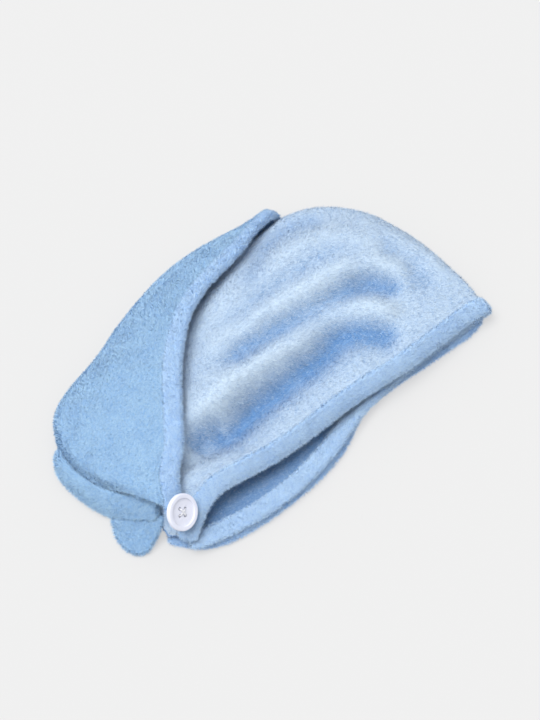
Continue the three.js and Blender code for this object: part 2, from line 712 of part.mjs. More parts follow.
// The button about its own axis, back face at level 0: a dished disc with a raised round rim and four holes.
function buttonShape() {
  const r = BUTTON_DIAMETER / 2;
  const edge = BUTTON_THICK * 0.3;
  const dish = BUTTON_THICK - BUTTON_DISH_DEPTH;
  const profile = [
    [0, 0],
    [r - edge, 0],
    [r - edge * 0.25, edge * 0.3],
    [r, edge],
    [r, BUTTON_THICK - edge],
    [r - edge * 0.3, BUTTON_THICK - edge * 0.3],
    [r - edge, BUTTON_THICK],
    [r - BUTTON_RIM_WIDTH * 0.7, BUTTON_THICK - BUTTON_DISH_DEPTH * 0.2],
    [r - BUTTON_RIM_WIDTH, dish],
    [0, dish],
  ].map(([x, y]) => new THREE.Vector2(x, y));
  let solid = solidOf(new THREE.LatheGeometry(profile, 32).rotateX(Math.PI / 2));
  for (const [x, y] of HOLE_PLACES) {
    solid = solid.subtract(bar(BUTTON_HOLE_DIAMETER, -BUTTON_THICK, BUTTON_THICK * 2, x, y));
  }
  return geometryOf(solid);
}

// The sewing thread: crossed over the dish, down the four holes and wound into a shank behind the button.
function threadShape() {
  const dish = BUTTON_THICK - BUTTON_DISH_DEPTH;
  const top = dish + THREAD_GAP + THREAD_DIAMETER;
  const shank = LOOP_CORD_DIAMETER + SEAT_GAP * 2;
  const padMid = -THREAD_GAP - THREAD_PAD / 2;
  let solid = bar(SHANK_DIAMETER + BUTTON_HOLE_SPACING, -THREAD_GAP - THREAD_PAD, -THREAD_GAP, 0, 0);
  solid = solid.add(bar(SHANK_DIAMETER, padMid - shank, padMid, 0, 0));
  for (const [x, y] of HOLE_PLACES) {
    solid = solid.add(bar(THREAD_DIAMETER, padMid, top, x, y));
  }
  const reach = BUTTON_HOLE_SPACING * Math.SQRT2 + THREAD_DIAMETER;
  for (const turn of [Math.PI / 4, -Math.PI / 4]) {
    const crossing = new THREE.BoxGeometry(reach, THREAD_DIAMETER, THREAD_DIAMETER)
      .rotateZ(turn)
      .translate(0, 0, top - THREAD_DIAMETER / 2);
    solid = solid.add(solidOf(crossing));
  }
  return geometryOf(solid);
}

// The elastic loop round the shank, a flat ring of cord under the button.
function loopShape() {
  const bend = SHANK_DIAMETER / 2 + LOOP_CORD_DIAMETER / 2 + SEAT_GAP;
  const level = -THREAD_GAP - THREAD_PAD - SEAT_GAP - LOOP_CORD_DIAMETER / 2;
  const turns = 20;
  const sides = 6;
  const rings = [];
  for (let i = 0; i <= turns; i++) {
    const angle = ((i % turns) / turns) * Math.PI * 2;
    const shift = Math.cos(angle) > 0 ? LOOP_REACH : 0;
    const centre = vector(Math.cos(angle) * bend + shift, Math.sin(angle) * bend, level);
    const outward = vector(Math.cos(angle), Math.sin(angle), 0);
    const ring = [];
    for (let j = 0; j <= sides; j++) {
      const turn = ((j % sides) / sides) * Math.PI * 2;
      ring.push(
        centre
          .clone()
          .addScaledVector(outward, (Math.cos(turn) * LOOP_CORD_DIAMETER) / 2)
          .add(vector(0, 0, (Math.sin(turn) * LOOP_CORD_DIAMETER) / 2)),
      );
    }
    rings.push(ring);
  }
  const skin = new Skin();
  skin.grid(rings);
  return skin.geometry();
}

function cloth(name, geometry, color) {
  const made = new THREE.Mesh(geometry, new THREE.MeshStandardMaterial({ color, roughness: 0.95, metalness: 0 }));
  made.name = name;
  return made;
}

const HOOD_BLUE = 0xb6cfee;
const TAIL_BLUE = 0x97bce6;
const HEM_BLUE = 0x9bbce0;

const turban = new THREE.Group();
turban.add(cloth("hood", hoodShape(), HOOD_BLUE));
turban.add(cloth("brim_hem", brimHemShape(), HEM_BLUE));
turban.add(cloth("tail", tailShape(), TAIL_BLUE));
turban.add(cloth("flap_hem", hem(flapHem, HEM_WIDTH, HEM_THICK, HEM_SIDES), HEM_BLUE));
turban.add(cloth("front_hem", frontHemShape(), HEM_BLUE));
turban.add(cloth("side_hem", sideHemShape(), HEM_BLUE));
turban.add(cloth("tail_tip", tipShape(), TAIL_BLUE));

// Button, thread and loop share one axis.
const fastening = new THREE.Group();
const plastic = new THREE.MeshStandardMaterial({ color: 0xe4e5f0, roughness: 0.35, metalness: 0 });
const white = new THREE.MeshStandardMaterial({ color: 0xf0f0f2, roughness: 0.8, metalness: 0 });
const button = new THREE.Mesh(buttonShape(), plastic);
button.name = "button";
const thread = new THREE.Mesh(threadShape(), white);
thread.name = "button_thread";
const loop = new THREE.Mesh(loopShape(), white.clone());
loop.name = "button_loop";
fastening.add(button, thread, loop);
const standOff = THREAD_GAP + THREAD_PAD / 2 + LOOP_CORD_DIAMETER + LOOP_CLEARANCE;
fastening.position
  .set(along(BUTTON_SEAT.along), across(BUTTON_SEAT.across), above(BUTTON_SEAT.up))
  .addScaledVector(BUTTON_FACING, HEM_THICK / 2 + standOff);
fastening.quaternion.setFromUnitVectors(vector(0, 0, 1), BUTTON_FACING);
fastening.rotateZ(BUTTON_TURN);
turban.add(fastening);

// The frame's origin is under the middle of the whole turban, on the ground.
const box = new THREE.Box3().setFromObject(turban);
turban.position.set(-(box.min.x + box.max.x) / 2, -(box.min.y + box.max.y) / 2, -box.min.z);

export default turban;
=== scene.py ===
import math

import bmesh
import bpy
import numpy as np
from mathutils import Matrix, Vector
from mathutils.bvhtree import BVHTree


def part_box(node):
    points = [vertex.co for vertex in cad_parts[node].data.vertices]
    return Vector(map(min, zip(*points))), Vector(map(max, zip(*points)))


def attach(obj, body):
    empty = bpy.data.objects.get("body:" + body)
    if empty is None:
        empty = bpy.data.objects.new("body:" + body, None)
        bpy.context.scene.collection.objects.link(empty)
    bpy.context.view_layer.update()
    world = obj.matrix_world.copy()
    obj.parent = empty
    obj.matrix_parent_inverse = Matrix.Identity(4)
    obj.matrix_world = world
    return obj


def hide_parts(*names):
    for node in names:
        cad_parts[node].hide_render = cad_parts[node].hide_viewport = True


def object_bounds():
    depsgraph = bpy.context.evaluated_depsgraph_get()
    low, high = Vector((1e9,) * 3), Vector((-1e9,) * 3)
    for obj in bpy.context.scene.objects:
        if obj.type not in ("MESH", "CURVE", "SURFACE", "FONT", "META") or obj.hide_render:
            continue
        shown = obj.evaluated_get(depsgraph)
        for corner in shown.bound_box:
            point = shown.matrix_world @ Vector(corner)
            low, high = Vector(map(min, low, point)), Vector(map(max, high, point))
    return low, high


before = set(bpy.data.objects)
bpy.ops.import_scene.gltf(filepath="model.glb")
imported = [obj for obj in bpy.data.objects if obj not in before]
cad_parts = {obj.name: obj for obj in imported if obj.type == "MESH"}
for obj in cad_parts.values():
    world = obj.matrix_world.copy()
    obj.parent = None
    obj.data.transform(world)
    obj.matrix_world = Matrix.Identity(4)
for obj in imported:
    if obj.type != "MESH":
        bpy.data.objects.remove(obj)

# Hair turban towel: soft fleece cloth and rolled hems grown from the frame's solids, with their pile as
# tufts, and a sewn button. Lengths are in metres.
CAD_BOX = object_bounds()
MM = 0.001

# Camera of the photograph, about the middle of the turban
VIEW_AZIMUTH = -38
VIEW_ELEVATION = 57
VIEW_DISTANCE = 1.224
VIEW_LENS = 85
AIM = Vector((11.73, -2.88, 0)) * MM

# Cloth and pile. The knitted ground lies an inset under the solid's face, and the pile fills the rest. Nearer
# than the seam's reach to its neighbour a piece isn't sunk and swells instead, so that their seam closes.
CLOTH_INSET = 0.8 * MM
SEAM_REACH = 4 * MM
SEAM_SWELL = 0.25 * MM
PILE_LENGTH = 2.1 * MM
TUFT_WIDTH = 0.36 * MM

# The hood's own places: shares of its half length and half depth from the middle of its brim and crown.
# Its upper panel starts to bend with the folds above the foot and does so fully above the shoulder.
HOOD_HALF_LENGTH = 135 * MM
HOOD_HALF_DEPTH = 90 * MM
HOOD_LOW, HOOD_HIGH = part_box("hood")
HOOD_MIDDLE = np.array([HOOD_HIGH.x - 138.1 * MM, HOOD_HIGH.y - 75.8 * MM])

HOOD_WALL = 2.8 * MM
HOOD_FOOT = HOOD_LOW.z + 6 * MM
HOOD_SHOULDER = HOOD_LOW.z + 13 * MM

# Where the tail's layer under the hood ends, and the pile's length on its hems and small pieces
LOW_LAYER_TOP = 3.5 * MM
HEM_PILE = 2.9 * MM
LONG_PILE = 3 * MM

# The button
BUTTON_FACING = Vector((0.29, -0.73, 0.62)).normalized()
BUTTON_TURN = -0.42
BUTTON_RADIUS = 12.5 * MM
BUTTON_THICK = 3.6 * MM
RIM_WIDTH = 3.2 * MM
DISH_DEPTH = 1.2 * MM
HOLE_RADIUS = 1.2 * MM
HOLE_SPACING = 4.6 * MM

# Colours, as linear light: of the pile's bright side, and of its painted shade in its depths and creases
HOOD_BRIGHT, HOOD_SHADED = (0.56, 0.68, 0.80), (0.11, 0.27, 0.55)
TAIL_BRIGHT, TAIL_SHADED = (0.46, 0.66, 0.83), (0.14, 0.35, 0.70)
HEM_BRIGHT, HEM_SHADED = (0.55, 0.72, 0.90), (0.17, 0.40, 0.78)
BUTTON_WHITE = (0.67, 0.69, 0.78)
BUTTON_SHADE = (0.62, 0.64, 0.75)
THREAD_WHITE = (0.78, 0.78, 0.80)
THREAD_SHADE = (0.58, 0.60, 0.66)
FLOOR_WHITE = (0.20, 0.20, 0.20)
FLOOR_GLOW = 0.52

# Folds of the hood's upper panel: each valley runs along its points from the forehead towards the nape, with
# its depth and widths in millimetres, and a ridge on its crown side. The darkest painted shade lies a small
# shift from the line towards the brim. A fold of the full depth and rise has the full painted shade, and its
# ridge a painted highlight.
SHADE_SHIFT = 0.5
RIDGE_WIDTH = 11
FULL_DEPTH = 5.5
FULL_RISE = 3.2
FOLDS = [
    {
        "line": [
            (0.5, -0.76), (0.4, -0.62), (0.3, -0.5), (0.2, -0.45), (0.06, -0.5), (-0.15, -0.53),
            (-0.4, -0.56), (-0.6, -0.64), (-0.82, -0.68),
        ],
        "depth": 5.5, "near": 15, "far": 9, "rise": 3.2, "offset": 19,
    },
    {
        "line": [
            (0.68, -0.46), (0.6, -0.27), (0.5, -0.18), (0.3, -0.17), (0.05, -0.15), (-0.25, -0.13),
            (-0.5, -0.17),
        ],
        "depth": 4.4, "near": 14, "far": 8, "rise": 2.6, "offset": 16,
    },
    {
        "line": [(0.66, -0.1), (0.55, 0.1), (0.4, 0.2), (0.15, 0.19), (-0.12, 0.15), (-0.4, 0.07)],
        "depth": 1.6, "near": 13, "far": 9, "rise": 1.2, "offset": 16,
    },
    {
        "line": [(0.66, 0.5), (0.5, 0.65), (0.3, 0.62), (0.1, 0.44), (-0.1, 0.3)],
        "depth": 2.2, "near": 10, "far": 9, "rise": 0.5, "offset": 14,
    },
    {
        "line": [(0.79, -0.55), (0.82, -0.34), (0.8, -0.14), (0.74, 0.02)],
        "depth": 1.8, "near": 12, "far": 9, "rise": 0.6, "offset": 15,
    },
    {
        "line": [(-0.6, -0.56), (-0.7, -0.52), (-0.82, -0.56)],
        "depth": 3.6, "near": 9, "far": 9, "rise": 0.4, "offset": 12,
    },
]


class Socket:
    """A shader value that adds Math nodes when it is used in an expression."""

    def __init__(self, shader, link):
        self.shader = shader
        self.link = link

    def joined(self, operation, other, swapped=False):
        pair = (other, self) if swapped else (self, other)
        return self.shader.node("ShaderNodeMath", {"operation": operation}, dict(enumerate(pair)))

    def __add__(self, other):
        return self.joined("ADD", other)

    __radd__ = __add__

    def __sub__(self, other):
        return self.joined("SUBTRACT", other)

    def __rsub__(self, other):
        return self.joined("SUBTRACT", other, True)

    def __mul__(self, other):
        return self.joined("MULTIPLY", other)

    __rmul__ = __mul__


class Shader:
    """One material's nodes."""

    def __init__(self, name):
        self.material = bpy.data.materials.new(name)
        self.material.use_nodes = True
        self.tree = self.material.node_tree
        self.tree.nodes.clear()
        self.place = self.node("ShaderNodeTexCoord", output="Object")

    def node(self, kind, settings=None, inputs=None, output=0):
        made = self.tree.nodes.new(kind)
        for name, value in (settings or {}).items():
            setattr(made, name, value)
        for name, value in (inputs or {}).items():
            if isinstance(value, Socket):
                self.tree.links.new(value.link, made.inputs[name])
            else:
                made.inputs[name].default_value = value
        return Socket(self, made.outputs[output])

    def noise(self, size, detail=2.0, roughness=0.5):
        inputs = {"Vector": self.place, "Scale": 1 / size, "Detail": detail, "Roughness": roughness}
        return self.node("ShaderNodeTexNoise", {}, inputs)

    def spread(self, value, low, high):
        inputs = {"Value": value, "From Min": low, "From Max": high}
        return self.node("ShaderNodeMapRange", {"clamp": True}, inputs)

    def mix(self, factor, first, second):
        inputs = {0: factor, 6: (*first, 1), 7: (*second, 1)}
        return self.node("ShaderNodeMix", {"data_type": "RGBA"}, inputs, 2)

    def attribute(self, name):
        return self.node("ShaderNodeAttribute", {"attribute_name": name}, {}, "Fac")

    def bump(self, height, strength, distance):
        return self.node("ShaderNodeBump", {}, {"Strength": strength, "Distance": distance, "Height": height})

    def finish(self, settings):
        surface = self.node("ShaderNodeBsdfPrincipled", {}, settings)
        output = self.tree.nodes.new("ShaderNodeOutputMaterial")
        self.tree.links.new(surface.link, output.inputs[0])
        return self.material


def fleece_pile(name, bright, shaded_colour):
    """Tufts: a painted highlight at their tips and on ridges, painted shade in creases, in random soft clouds
    of tone.
    """
    shader = Shader(name)
    cloudy = shader.spread(shader.noise(16 * MM, 3), 0.35, 0.68)
    clumps = shader.spread(shader.noise(2.2 * MM, 2), 0.3, 0.7)
    # Painted shade and highlight from the attributes, with random clouds and clumps of tone
    tone_and_painted_shade = shader.attribute("tone_and_painted_shade") + 0.14 * cloudy + 0.12 * clumps + 0.16 * shader.attribute("tip") - 0.21
    settings = {
        "Base Color": shader.mix(shader.spread(tone_and_painted_shade, 0, 1), shaded_colour, bright),
        "Roughness": 0.85,
        "Specular IOR Level": 0.12,
        "Sheen Weight": 0.3,
        "Sheen Roughness": 0.5,
        "Sheen Tint": (0.85, 0.92, 1.0, 1),
    }
    return shader.finish(settings)


def fleece_ground(name, bright, shaded_colour):
    """The knitted ground that shows between the tufts, with the same painted shade and random loops and
    clouds of tone.
    """
    shader = Shader(name)
    loops = shader.spread(shader.noise(0.9 * MM, 3, 0.65), 0.3, 0.72)
    cloudy = shader.spread(shader.noise(14 * MM, 3), 0.35, 0.7)
    # Painted shade from the attribute, with random loops and clouds of tone
    tone_and_painted_shade = shader.attribute("tone_and_painted_shade") + 0.3 * loops + 0.12 * cloudy - 0.25
    settings = {
        "Base Color": shader.mix(shader.spread(tone_and_painted_shade, 0, 1), shaded_colour, bright),
        "Roughness": 0.95,
        "Specular IOR Level": 0.1,
        "Sheen Weight": 0.3,
        "Normal": shader.bump(loops, 0.8, 0.7 * MM),
    }
    return shader.finish(settings)


def button_plastic():
    shader = Shader("button_plastic")
    haze = shader.spread(shader.noise(5 * MM, 3), 0.3, 0.75)
    scuffs = shader.noise(0.7 * MM, 4, 0.7)
    settings = {
        "Base Color": shader.mix(haze, BUTTON_SHADE, BUTTON_WHITE),
        "Roughness": 0.28 + 0.14 * scuffs,
        "Specular IOR Level": 0.5,
        "Normal": shader.bump(scuffs, 0.06, 0.1 * MM),
    }
    return shader.finish(settings)


def sewing_thread():
    shader = Shader("white_thread")
    wave = {"Vector": shader.place, "Scale": 420.0, "Distortion": 1.5, "Detail": 2.0}
    twist = shader.node("ShaderNodeTexWave", {"bands_direction": "DIAGONAL"}, wave, 1)
    settings = {
        "Base Color": shader.mix(twist, THREAD_SHADE, THREAD_WHITE),
        "Roughness": 0.8,
        "Normal": shader.bump(twist, 0.5, 0.15 * MM),
    }
    return shader.finish(settings)


def floor_finish():
    """A pale table that glows faintly, so that shadows on it stay light."""
    shader = Shader("studio_floor")
    cloudy = shader.noise(0.4, 2)
    lighter = tuple(value * 1.01 for value in FLOOR_WHITE)
    settings = {
        "Base Color": shader.mix(cloudy, FLOOR_WHITE, lighter),
        "Roughness": 0.9,
        "Specular IOR Level": 0.1,
        "Emission Color": (1, 1, 1, 1),
        "Emission Strength": FLOOR_GLOW,
    }
    return shader.finish(settings)


def linked(name, mesh, material=None):
    piece = bpy.data.objects.new(name, mesh)
    bpy.context.scene.collection.objects.link(piece)
    if material:
        mesh.materials.append(material)
    return piece


def settled(piece, slot, *nodes):
    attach(piece, "root")
    if nodes:
        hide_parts(*nodes)
    return piece


def smoothed(mesh):
    mesh.polygons.foreach_set("use_smooth", np.ones(len(mesh.polygons), bool))


def places_of(mesh):
    values = np.zeros(len(mesh.vertices) * 3, np.float32)
    mesh.vertices.foreach_get("co", values)
    return values.reshape(-1, 3).astype(float)


def normals_of(mesh):
    values = np.zeros(len(mesh.vertices) * 3, np.float32)
    mesh.vertex_normals.foreach_get("vector", values)
    return values.reshape(-1, 3).astype(float)


def move_to(mesh, places):
    mesh.vertices.foreach_set("co", places.astype(np.float32).ravel())
    mesh.update()


def unit(vectors):
    return vectors / (np.linalg.norm(vectors, axis=1)[:, None] + 1e-12)


def smoothstep(values, low, high):
    share = np.clip((values - low) / (high - low), 0, 1)
    return share * share * (3 - 2 * share)


def waves(places, size, seed):
    """A smooth field between -1 and 1 with features of about one size, from a few crossing waves."""
    draw = np.random.default_rng(seed)
    total = np.zeros(len(places))
    for _ in range(9):
        direction = draw.normal(size=3)
        direction /= np.linalg.norm(direction)
        pitch = size * draw.uniform(0.7, 1.6)
        total += np.sin(places @ direction * (2 * math.pi / pitch) + draw.uniform(0, 2 * math.pi))
    return total / 4.5


def curve_through(points, steps):
    """A smooth line through points, as Catmull-Rom, evenly stepped between each pair."""
    ends = [2 * points[0] - points[1], *points, 2 * points[-1] - points[-2]]
    line = []
    for a, b, c, d in zip(ends, ends[1:], ends[2:], ends[3:]):
        for t in np.linspace(0, 1, steps, endpoint=False):
            curved = (2 * a - 5 * b + 4 * c - d) * t**2 + (3 * b - a - 3 * c + d) * t**3
            line.append(0.5 * (2 * b + (c - a) * t + curved))
    return np.array([*line, points[-1]])


def fold_height(places):
    """How much the folds lift or sink the hood's upper panel, and how much painted shade each place gets in a
    crease, less a painted highlight on ridges.
    """
    lift = np.zeros(len(places))
    crease = np.zeros(len(places))
    for fold in FOLDS:
        points = [HOOD_MIDDLE + np.array(p) * (HOOD_HALF_LENGTH, HOOD_HALF_DEPTH) for p in fold["line"]]
        line = curve_through(points, 8)
        tangent = np.gradient(line, axis=0)
        side = unit(np.stack([tangent[:, 1], -tangent[:, 0]], axis=1))
        gap = places[:, None, :2] - line[None]
        nearest = (gap**2).sum(axis=2).argmin(axis=1)
        gap = gap[np.arange(len(places)), nearest]
        distance = np.linalg.norm(gap, axis=1)
        across = np.where((gap * side[nearest]).sum(axis=1) > 0, distance, -distance) / MM
        share = nearest / (len(line) - 1)
        fade = smoothstep(share, 0, 0.1) * smoothstep(1 - share, 0, 0.16)
        valley = np.exp(-((across / np.where(across > 0, fold["far"], fold["near"])) ** 2)) * fade
        ridge = np.exp(-(((across - fold["offset"]) / RIDGE_WIDTH) ** 2)) * fade
        lift += (fold["rise"] * ridge - fold["depth"] * valley) * MM
        # Painted shade along each crease, shifted a little towards the brim, less a painted highlight along
        # its ridge
        shade = across + SHADE_SHIFT
        width = np.where(shade > 0, fold["far"] * 0.95, fold["near"] * 0.85)
        slope = np.exp(-((shade / width) ** 2)) * fade
        crease += slope * fold["depth"] / FULL_DEPTH - 0.4 * ridge * fold["rise"] / FULL_RISE
    return lift, crease


def smooth_copy(node, name, levels):
    """A dense smooth copy of a node: its triangles are paired into quads again and subdivided."""
    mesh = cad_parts[node].data.copy()
    work = bmesh.new()
    work.from_mesh(mesh)
    bmesh.ops.remove_doubles(work, verts=work.verts, dist=0.005 * MM)
    limits = {"angle_face_threshold": math.radians(60), "angle_shape_threshold": math.radians(80)}
    bmesh.ops.join_triangles(work, faces=work.faces, **limits)
    work.to_mesh(mesh)
    work.free()
    mesh.materials.clear()
    piece = linked(name, mesh)
    modifier = piece.modifiers.new("smooth", "SUBSURF")
    modifier.levels = levels
    modifier.render_levels = levels
    dense = bpy.data.meshes.new_from_object(piece.evaluated_get(bpy.context.evaluated_depsgraph_get()))
    piece.modifiers.clear()
    piece.data = dense
    dense.name = name
    for layer in list(dense.uv_layers):
        dense.uv_layers.remove(layer)
    smoothed(dense)
    return piece


def gap_to_neighbours(node, places):
    """Distance from each place to the nearest other cloth node."""
    least = np.full(len(places), 1.0)
    for other in SOFT_TREES:
        if other != node:
            tree = SOFT_TREES[other]
            found = [tree.find_nearest(Vector(p), 2 * SEAM_REACH)[3] for p in places]
            least = np.minimum(least, [1.0 if d is None else d for d in found])
    return least


def set_attribute(mesh, name, values):
    mesh.attributes.new(name, "FLOAT", "POINT").data.foreach_set("value", values.astype(np.float32))


def flat_uv(places, up):
    """Each place in one of two halves of the picture, by whether its face looks up or down."""
    low, high = (np.array(corner) for corner in CAD_BOX)
    side = max(high[0] - low[0], high[1] - low[1]) * 1.1
    u = (places[:, 0] - low[0] + 10 * MM) / side * 0.5
    v = (places[:, 1] - low[1] + 10 * MM) / side
    return np.stack([u + np.where(up[:, 2] < 0, 0.5, 0), v], axis=1)


def add_cloth_uv(mesh):
    layer = mesh.uv_layers.new(name="OFBake")
    loops = np.zeros(len(mesh.loops), np.int32)
    mesh.loops.foreach_get("vertex_index", loops)
    facing = np.zeros(len(mesh.polygons) * 3, np.float32)
    mesh.polygons.foreach_get("normal", facing)
    totals = np.zeros(len(mesh.polygons), np.int32)
    mesh.polygons.foreach_get("loop_total", totals)
    up = np.repeat(facing.reshape(-1, 3), totals, axis=0)
    layer.data.foreach_set("uv", flat_uv(places_of(mesh)[loops], up).astype(np.float32).ravel())


def surface_samples(mesh, count, weigh, draw):
    """Random places on a mesh, by area and weight, with smooth normals and the cloth's tone and painted
    shade.
    """
    mesh.calc_loop_triangles()
    total = len(mesh.loop_triangles)
    corners = np.zeros(total * 3, np.int32)
    mesh.loop_triangles.foreach_get("vertices", corners)
    corners = corners.reshape(-1, 3)
    places, normals = places_of(mesh), normals_of(mesh)
    tone_and_painted_shade = np.zeros(len(places), np.float32)
    mesh.attributes["tone_and_painted_shade"].data.foreach_get("value", tone_and_painted_shade)
    a, b, c = (places[corners[:, k]] for k in range(3))
    area = np.linalg.norm(np.cross(b - a, c - a), axis=1) / 2
    weight = area * weigh((a + b + c) / 3, normals[corners].mean(axis=1))
    picked = draw.choice(total, size=count, p=weight / weight.sum())
    u, v = draw.random((2, count))
    over = u + v > 1
    u[over], v[over] = 1 - u[over], 1 - v[over]
    share = np.stack([1 - u - v, u, v], axis=1)
    roots = (places[corners[picked]] * share[:, :, None]).sum(axis=1)
    up = unit((normals[corners[picked]] * share[:, :, None]).sum(axis=1))
    return roots, up, (tone_and_painted_shade[corners[picked]] * share).sum(axis=1)


def tuft_mesh(name, roots, up, lean, length, width, tone_and_painted_shade, tilt):
    """One thin pointed blade for each tuft, shaded mostly as the cloth under it."""
    count = len(roots)
    half = unit(np.cross(lean, up)) * (width / 2)[:, None]
    points = np.stack([roots - half, roots + half, roots + lean * length[:, None]], axis=1).reshape(-1, 3)
    points[:, 2] = np.maximum(points[:, 2], 0)
    shading = unit(up + unit(np.cross(half, lean)) * 0.12 + tilt)
    mesh = bpy.data.meshes.new(name)
    mesh.vertices.add(count * 3)
    mesh.vertices.foreach_set("co", points.astype(np.float32).ravel())
    mesh.loops.add(count * 3)
    mesh.loops.foreach_set("vertex_index", np.arange(count * 3, dtype=np.int32))
    mesh.polygons.add(count)
    mesh.polygons.foreach_set("loop_start", np.arange(0, count * 3, 3, dtype=np.int32))
    mesh.update(calc_edges=True)
    smoothed(mesh)
    # Each tuft's tip takes a painted highlight and its root painted shade, and it carries its root's tone and
    # painted shade
    set_attribute(mesh, "tip", np.tile([0, 0, 1], count))
    set_attribute(mesh, "tone_and_painted_shade", np.repeat(tone_and_painted_shade, 3))
    texel = 0.0004
    spread = np.array([[-texel, 0], [texel, 0], [0, 2 * texel]])[None]
    layer = mesh.uv_layers.new(name="OFBake")
    layer.data.foreach_set("uv", (flat_uv(roots, up)[:, None, :] + spread).astype(np.float32).ravel())
    mesh.normals_split_custom_set_from_vertices(np.repeat(shading, 3, axis=0))
    return mesh


def pile(mesh, name, facts, seed):
    """Fleece tufts that lie over along the comb direction, in small clumps that lean together."""
    draw = np.random.default_rng(seed)
    count = facts["tufts"]
    roots, up, tone_and_painted_shade = surface_samples(mesh, count, facts["weigh"], draw)
    clump = np.stack([waves(roots, 2.6 * MM, seed + k) for k in (1, 2, 3)], axis=1)
    patch = np.stack([waves(roots, 21 * MM, seed + k) for k in (4, 5, 6)], axis=1)
    fine = np.stack([waves(roots, 1.5 * MM, seed + k) for k in (11, 12, 13)], axis=1)
    along = facts["comb"](roots, up) * facts["flatness"] + facts["clumps"] * 0.35 * clump + patch * 0.15
    along += draw.normal(size=(count, 3)) * facts["wild"]
    along -= up * (along * up).sum(axis=1)[:, None]
    lean = unit(along + up * draw.uniform(0.5, 1.2, (count, 1)))
    length = facts["length"] * draw.uniform(0.6, 1.2, count) * (1 + 0.12 * waves(roots, 2 * MM, seed + 7))
    width = TUFT_WIDTH * draw.uniform(0.7, 1.3, count)
    tone_and_painted_shade = tone_and_painted_shade + 0.22 * draw.normal(size=count) + 0.06 * waves(roots, 2.2 * MM, seed + 7)
    tilt = 0.05 * (1 + facts["clumps"]) * fine + 0.18 * draw.normal(size=(count, 3))
    return tuft_mesh(name, roots, up, lean, length, width, tone_and_painted_shade, tilt)


def straight_comb(x, y):
    return lambda roots, up: np.repeat(np.array([[x, y, 0.0]]), len(roots), axis=0)


def outward_comb(node):
    """Combs away from a hem's middle and a little down, as pile stands out round a roll."""
    rim = places_of(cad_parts[node].data)
    near = np.linalg.norm(rim[:, None] - rim[None], axis=2) < 9 * MM
    middle = (near @ rim) / near.sum(axis=1)[:, None]

    def comb(roots, up):
        nearest = ((roots[:, None] - middle[None]) ** 2).sum(axis=2).argmin(axis=1)
        return unit(roots - middle[nearest]) * 0.5 + np.array([-0.35, -0.2, -0.3])

    return comb


def all_seen(middles, facing):
    """Weight for a hem: full where it shows, little where it looks down on the table."""
    return np.clip((facing[:, 2] + 0.6) * 2.5, 0.05, 1)


def hood_weight(middles, facing):
    """Full pile on the upper face and on what can be seen inside the mouth, none where nothing shows."""
    outer = (facing[:, 2] > -0.2) & (middles[:, 2] > HOOD_LOW.z + 5.5 * MM)
    mouth = middles[:, 1] < HOOD_LOW.y + 0.4 * (HOOD_HIGH.y - HOOD_LOW.y)
    return np.where(outer, 1.0, 0) + np.where(mouth & ~outer, 1.0, 0)


def tail_weight(middles, facing):
    """Full pile on the flap and the fold round the outside, little on the layer under the hood."""
    low_layer = middles[:, 2] < LOW_LAYER_TOP
    front = middles[:, 1] < HOOD_LOW.y + 22 * MM
    under = np.where(front & (facing[:, 2] > 0), 0.7, 0.05)
    return np.where(low_layer, under, np.clip((facing[:, 2] + 0.6) * 2, 0.05, 1))


def hood_folds_and_shade(places, normals):
    """The folds lift and sink both faces of the upper panel, and their creases set the painted shade and
    their ridges a painted highlight.
    """
    lift, crease = fold_height(places)
    level = places[:, 2] + np.where(normals[:, 2] < 0, HOOD_WALL, 0)
    upper = smoothstep(level, HOOD_FOOT, HOOD_SHOULDER)
    edge = smoothstep(gap_to_neighbours("hood", places), 1 * MM, 8 * MM)
    # Painted shade in creases, painted highlight on ridges, and an even painted shade on the hood's inside
    # and lower panel
    tone_and_painted_shade = 0.8 - 0.68 * np.clip(crease, -0.35, 1.1)
    inside = (normals[:, 2] < 0) | (places[:, 2] < HOOD_FOOT)
    return lift * upper * edge, np.where(inside, 0.22, tone_and_painted_shade)


def tucked(depth, towards):
    """Moves the far end of a piece, as the picture shows it, to slip it under its neighbour."""
    turn = math.radians(-VIEW_AZIMUTH)

    def move(places):
        away = places @ np.array([math.sin(turn), math.cos(turn), 0])
        share = smoothstep(away, away.max() - depth, away.max())
        return share[:, None] * np.array(towards) * MM

    return move


def plain_shape(level):
    return lambda places, normals: (np.zeros(len(places)), np.full(len(places), level))


def tail_painted_shade(places, normals):
    """The flap stays even in tone, and the layer on the table takes painted shade, where it lies in the
    turban's shade.
    """
    return np.zeros(len(places)), np.where(places[:, 2] < LOW_LAYER_TOP, 0.35, 0.74)


def soft_piece(node, slot, facts, ground, material, seed):
    """A cloth piece that replaces its node, and its pile."""
    cloth = smooth_copy(node, node + "_cloth", 2)
    mesh = cloth.data
    places, normals = places_of(mesh), normals_of(mesh)
    lift, tone_and_painted_shade = facts["shape"](places, normals)
    seam = smoothstep(gap_to_neighbours(node, places), 0.8 * MM, SEAM_REACH)
    uneven = 0.75 * waves(places, 30 * MM, seed) + 0.25 * waves(places, 12 * MM, seed + 1)
    sunk = facts["ripple"] * uneven - CLOTH_INSET * smoothstep(normals[:, 2], -0.3, 0.3)
    places += normals * (seam * sunk + (1 - seam) * SEAM_SWELL)[:, None]
    places[:, 2] += lift
    if node in TUCKED_ENDS:
        places += TUCKED_ENDS[node](places)
    move_to(mesh, places)
    # The attribute carries the painted shade and highlight and the cloth's even tone, for the ground's and
    # the pile's colour
    set_attribute(mesh, "tone_and_painted_shade", tone_and_painted_shade)
    mesh.materials.append(ground)
    add_cloth_uv(mesh)
    fur = linked(node + "_pile", pile(mesh, node + "_pile", facts, seed + 20), material)
    settled(cloth, slot, node)
    settled(fur, slot)
    return cloth, fur


# Button

